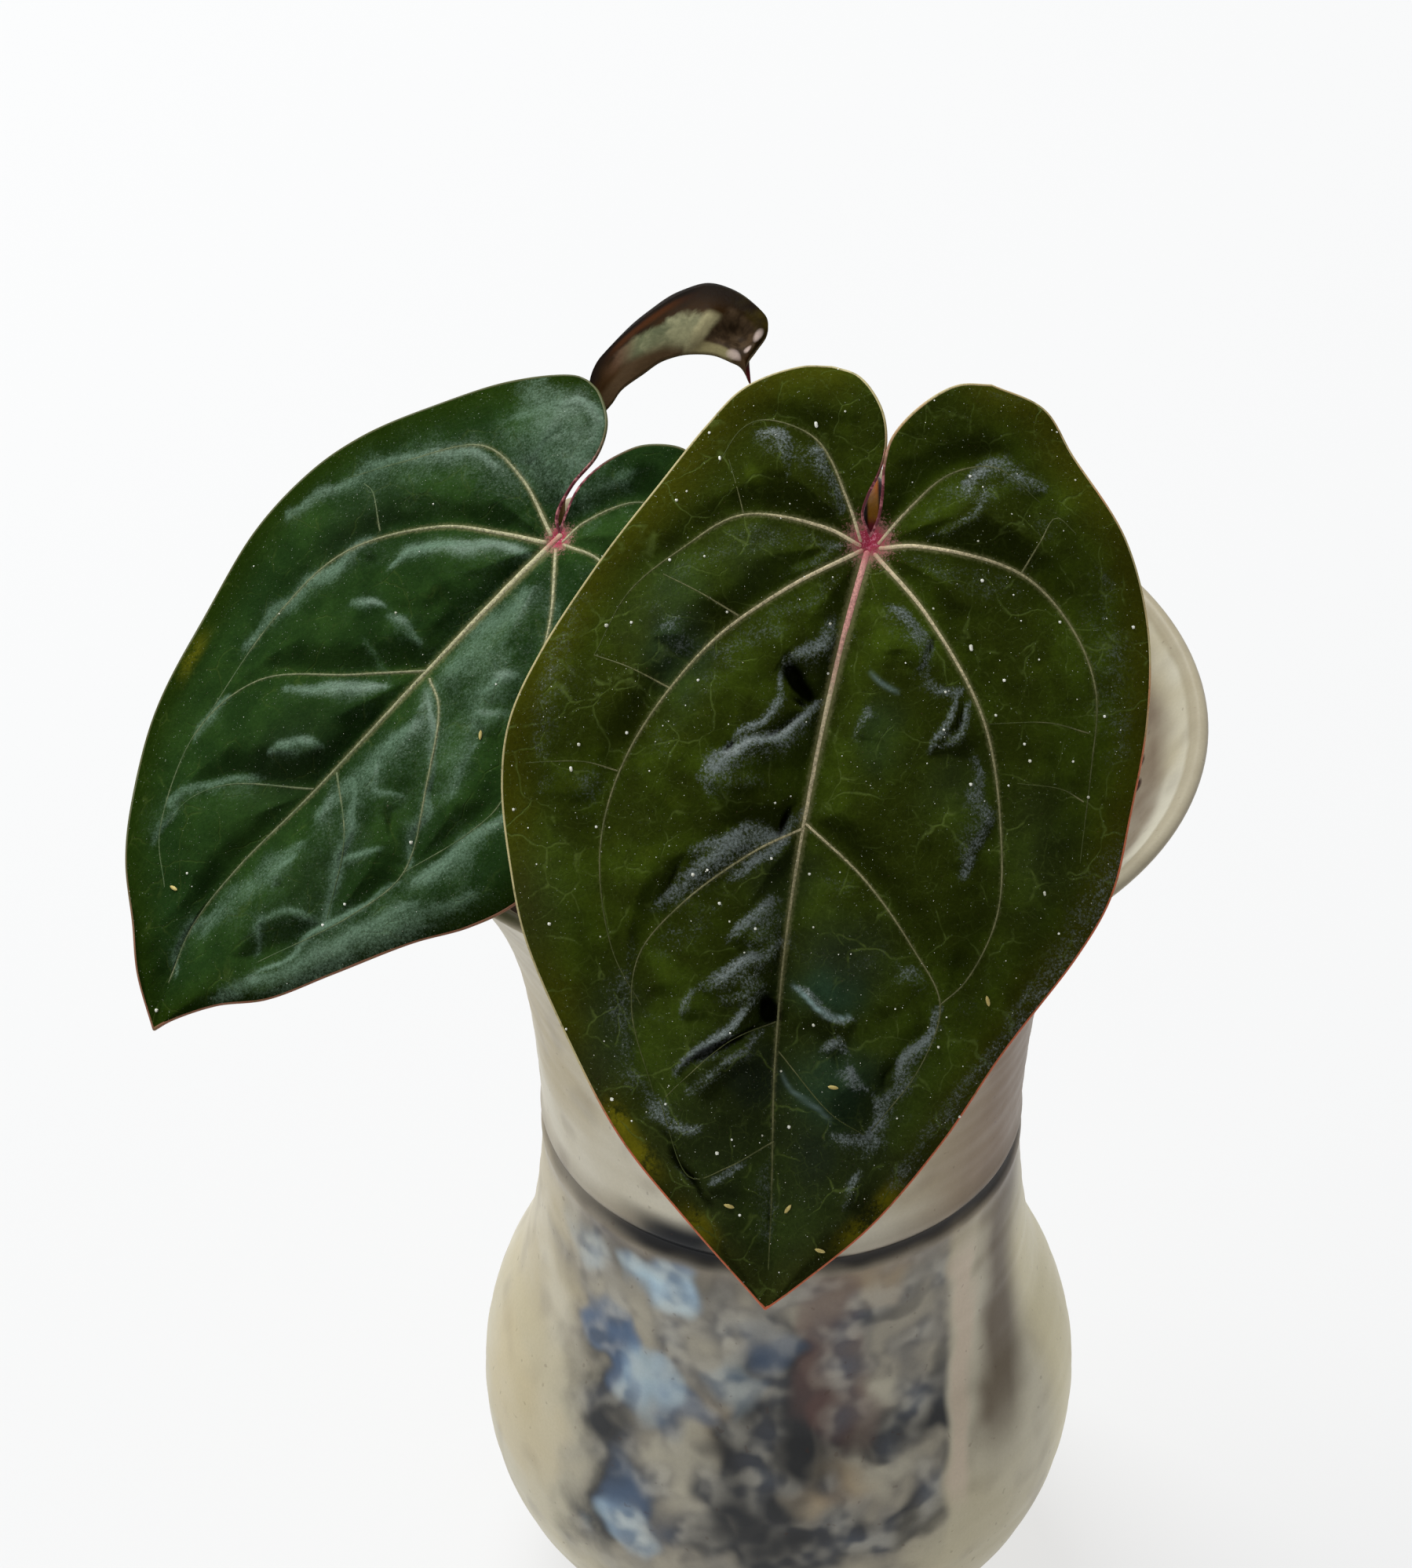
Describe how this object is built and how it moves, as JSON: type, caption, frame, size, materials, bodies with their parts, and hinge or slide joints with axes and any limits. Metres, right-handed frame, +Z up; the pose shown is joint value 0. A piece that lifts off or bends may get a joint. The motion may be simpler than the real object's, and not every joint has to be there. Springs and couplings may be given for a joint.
{
  "type": "potted anthurium",
  "caption": "Young velvet-leaved anthurium with quilted heart-shaped leaves and a folded new leaf, growing in a glazed vase with a round belly and a wide flared rim.",
  "frame": {"origin": "centre of the vase's flat foot, on the surface it stands on", "axes": "+Z up along the vase's axis, -Y towards the side that the front leaf faces, -X towards the second leaf"},
  "size_m": [0.2508, 0.2518, 0.3822],
  "materials": {
    "glaze": "opaque mottled cream, grey and blue ceramic glaze, satin gloss",
    "bark_mix": "rough chunky bark mix",
    "crown_tissue": "matte ringed stem with papery sheaths",
    "petiole": "smooth satin stalk",
    "velvet_leaf": "dark velvety green with pale veins and a fine sheen",
    "bronze_leaf": "soft bronze-brown young leaf with a satin sheen"
  },
  "bodies": {
    "root": {"vase": "glaze", "potting_mix": "bark_mix", "crown": "crown_tissue", "petiole_front": "petiole", "petiole_left": "petiole", "petiole_young": "petiole", "leaf_front": "velvet_leaf", "leaf_left": "velvet_leaf", "leaf_young": "bronze_leaf"}
  },
  "joints": []
}
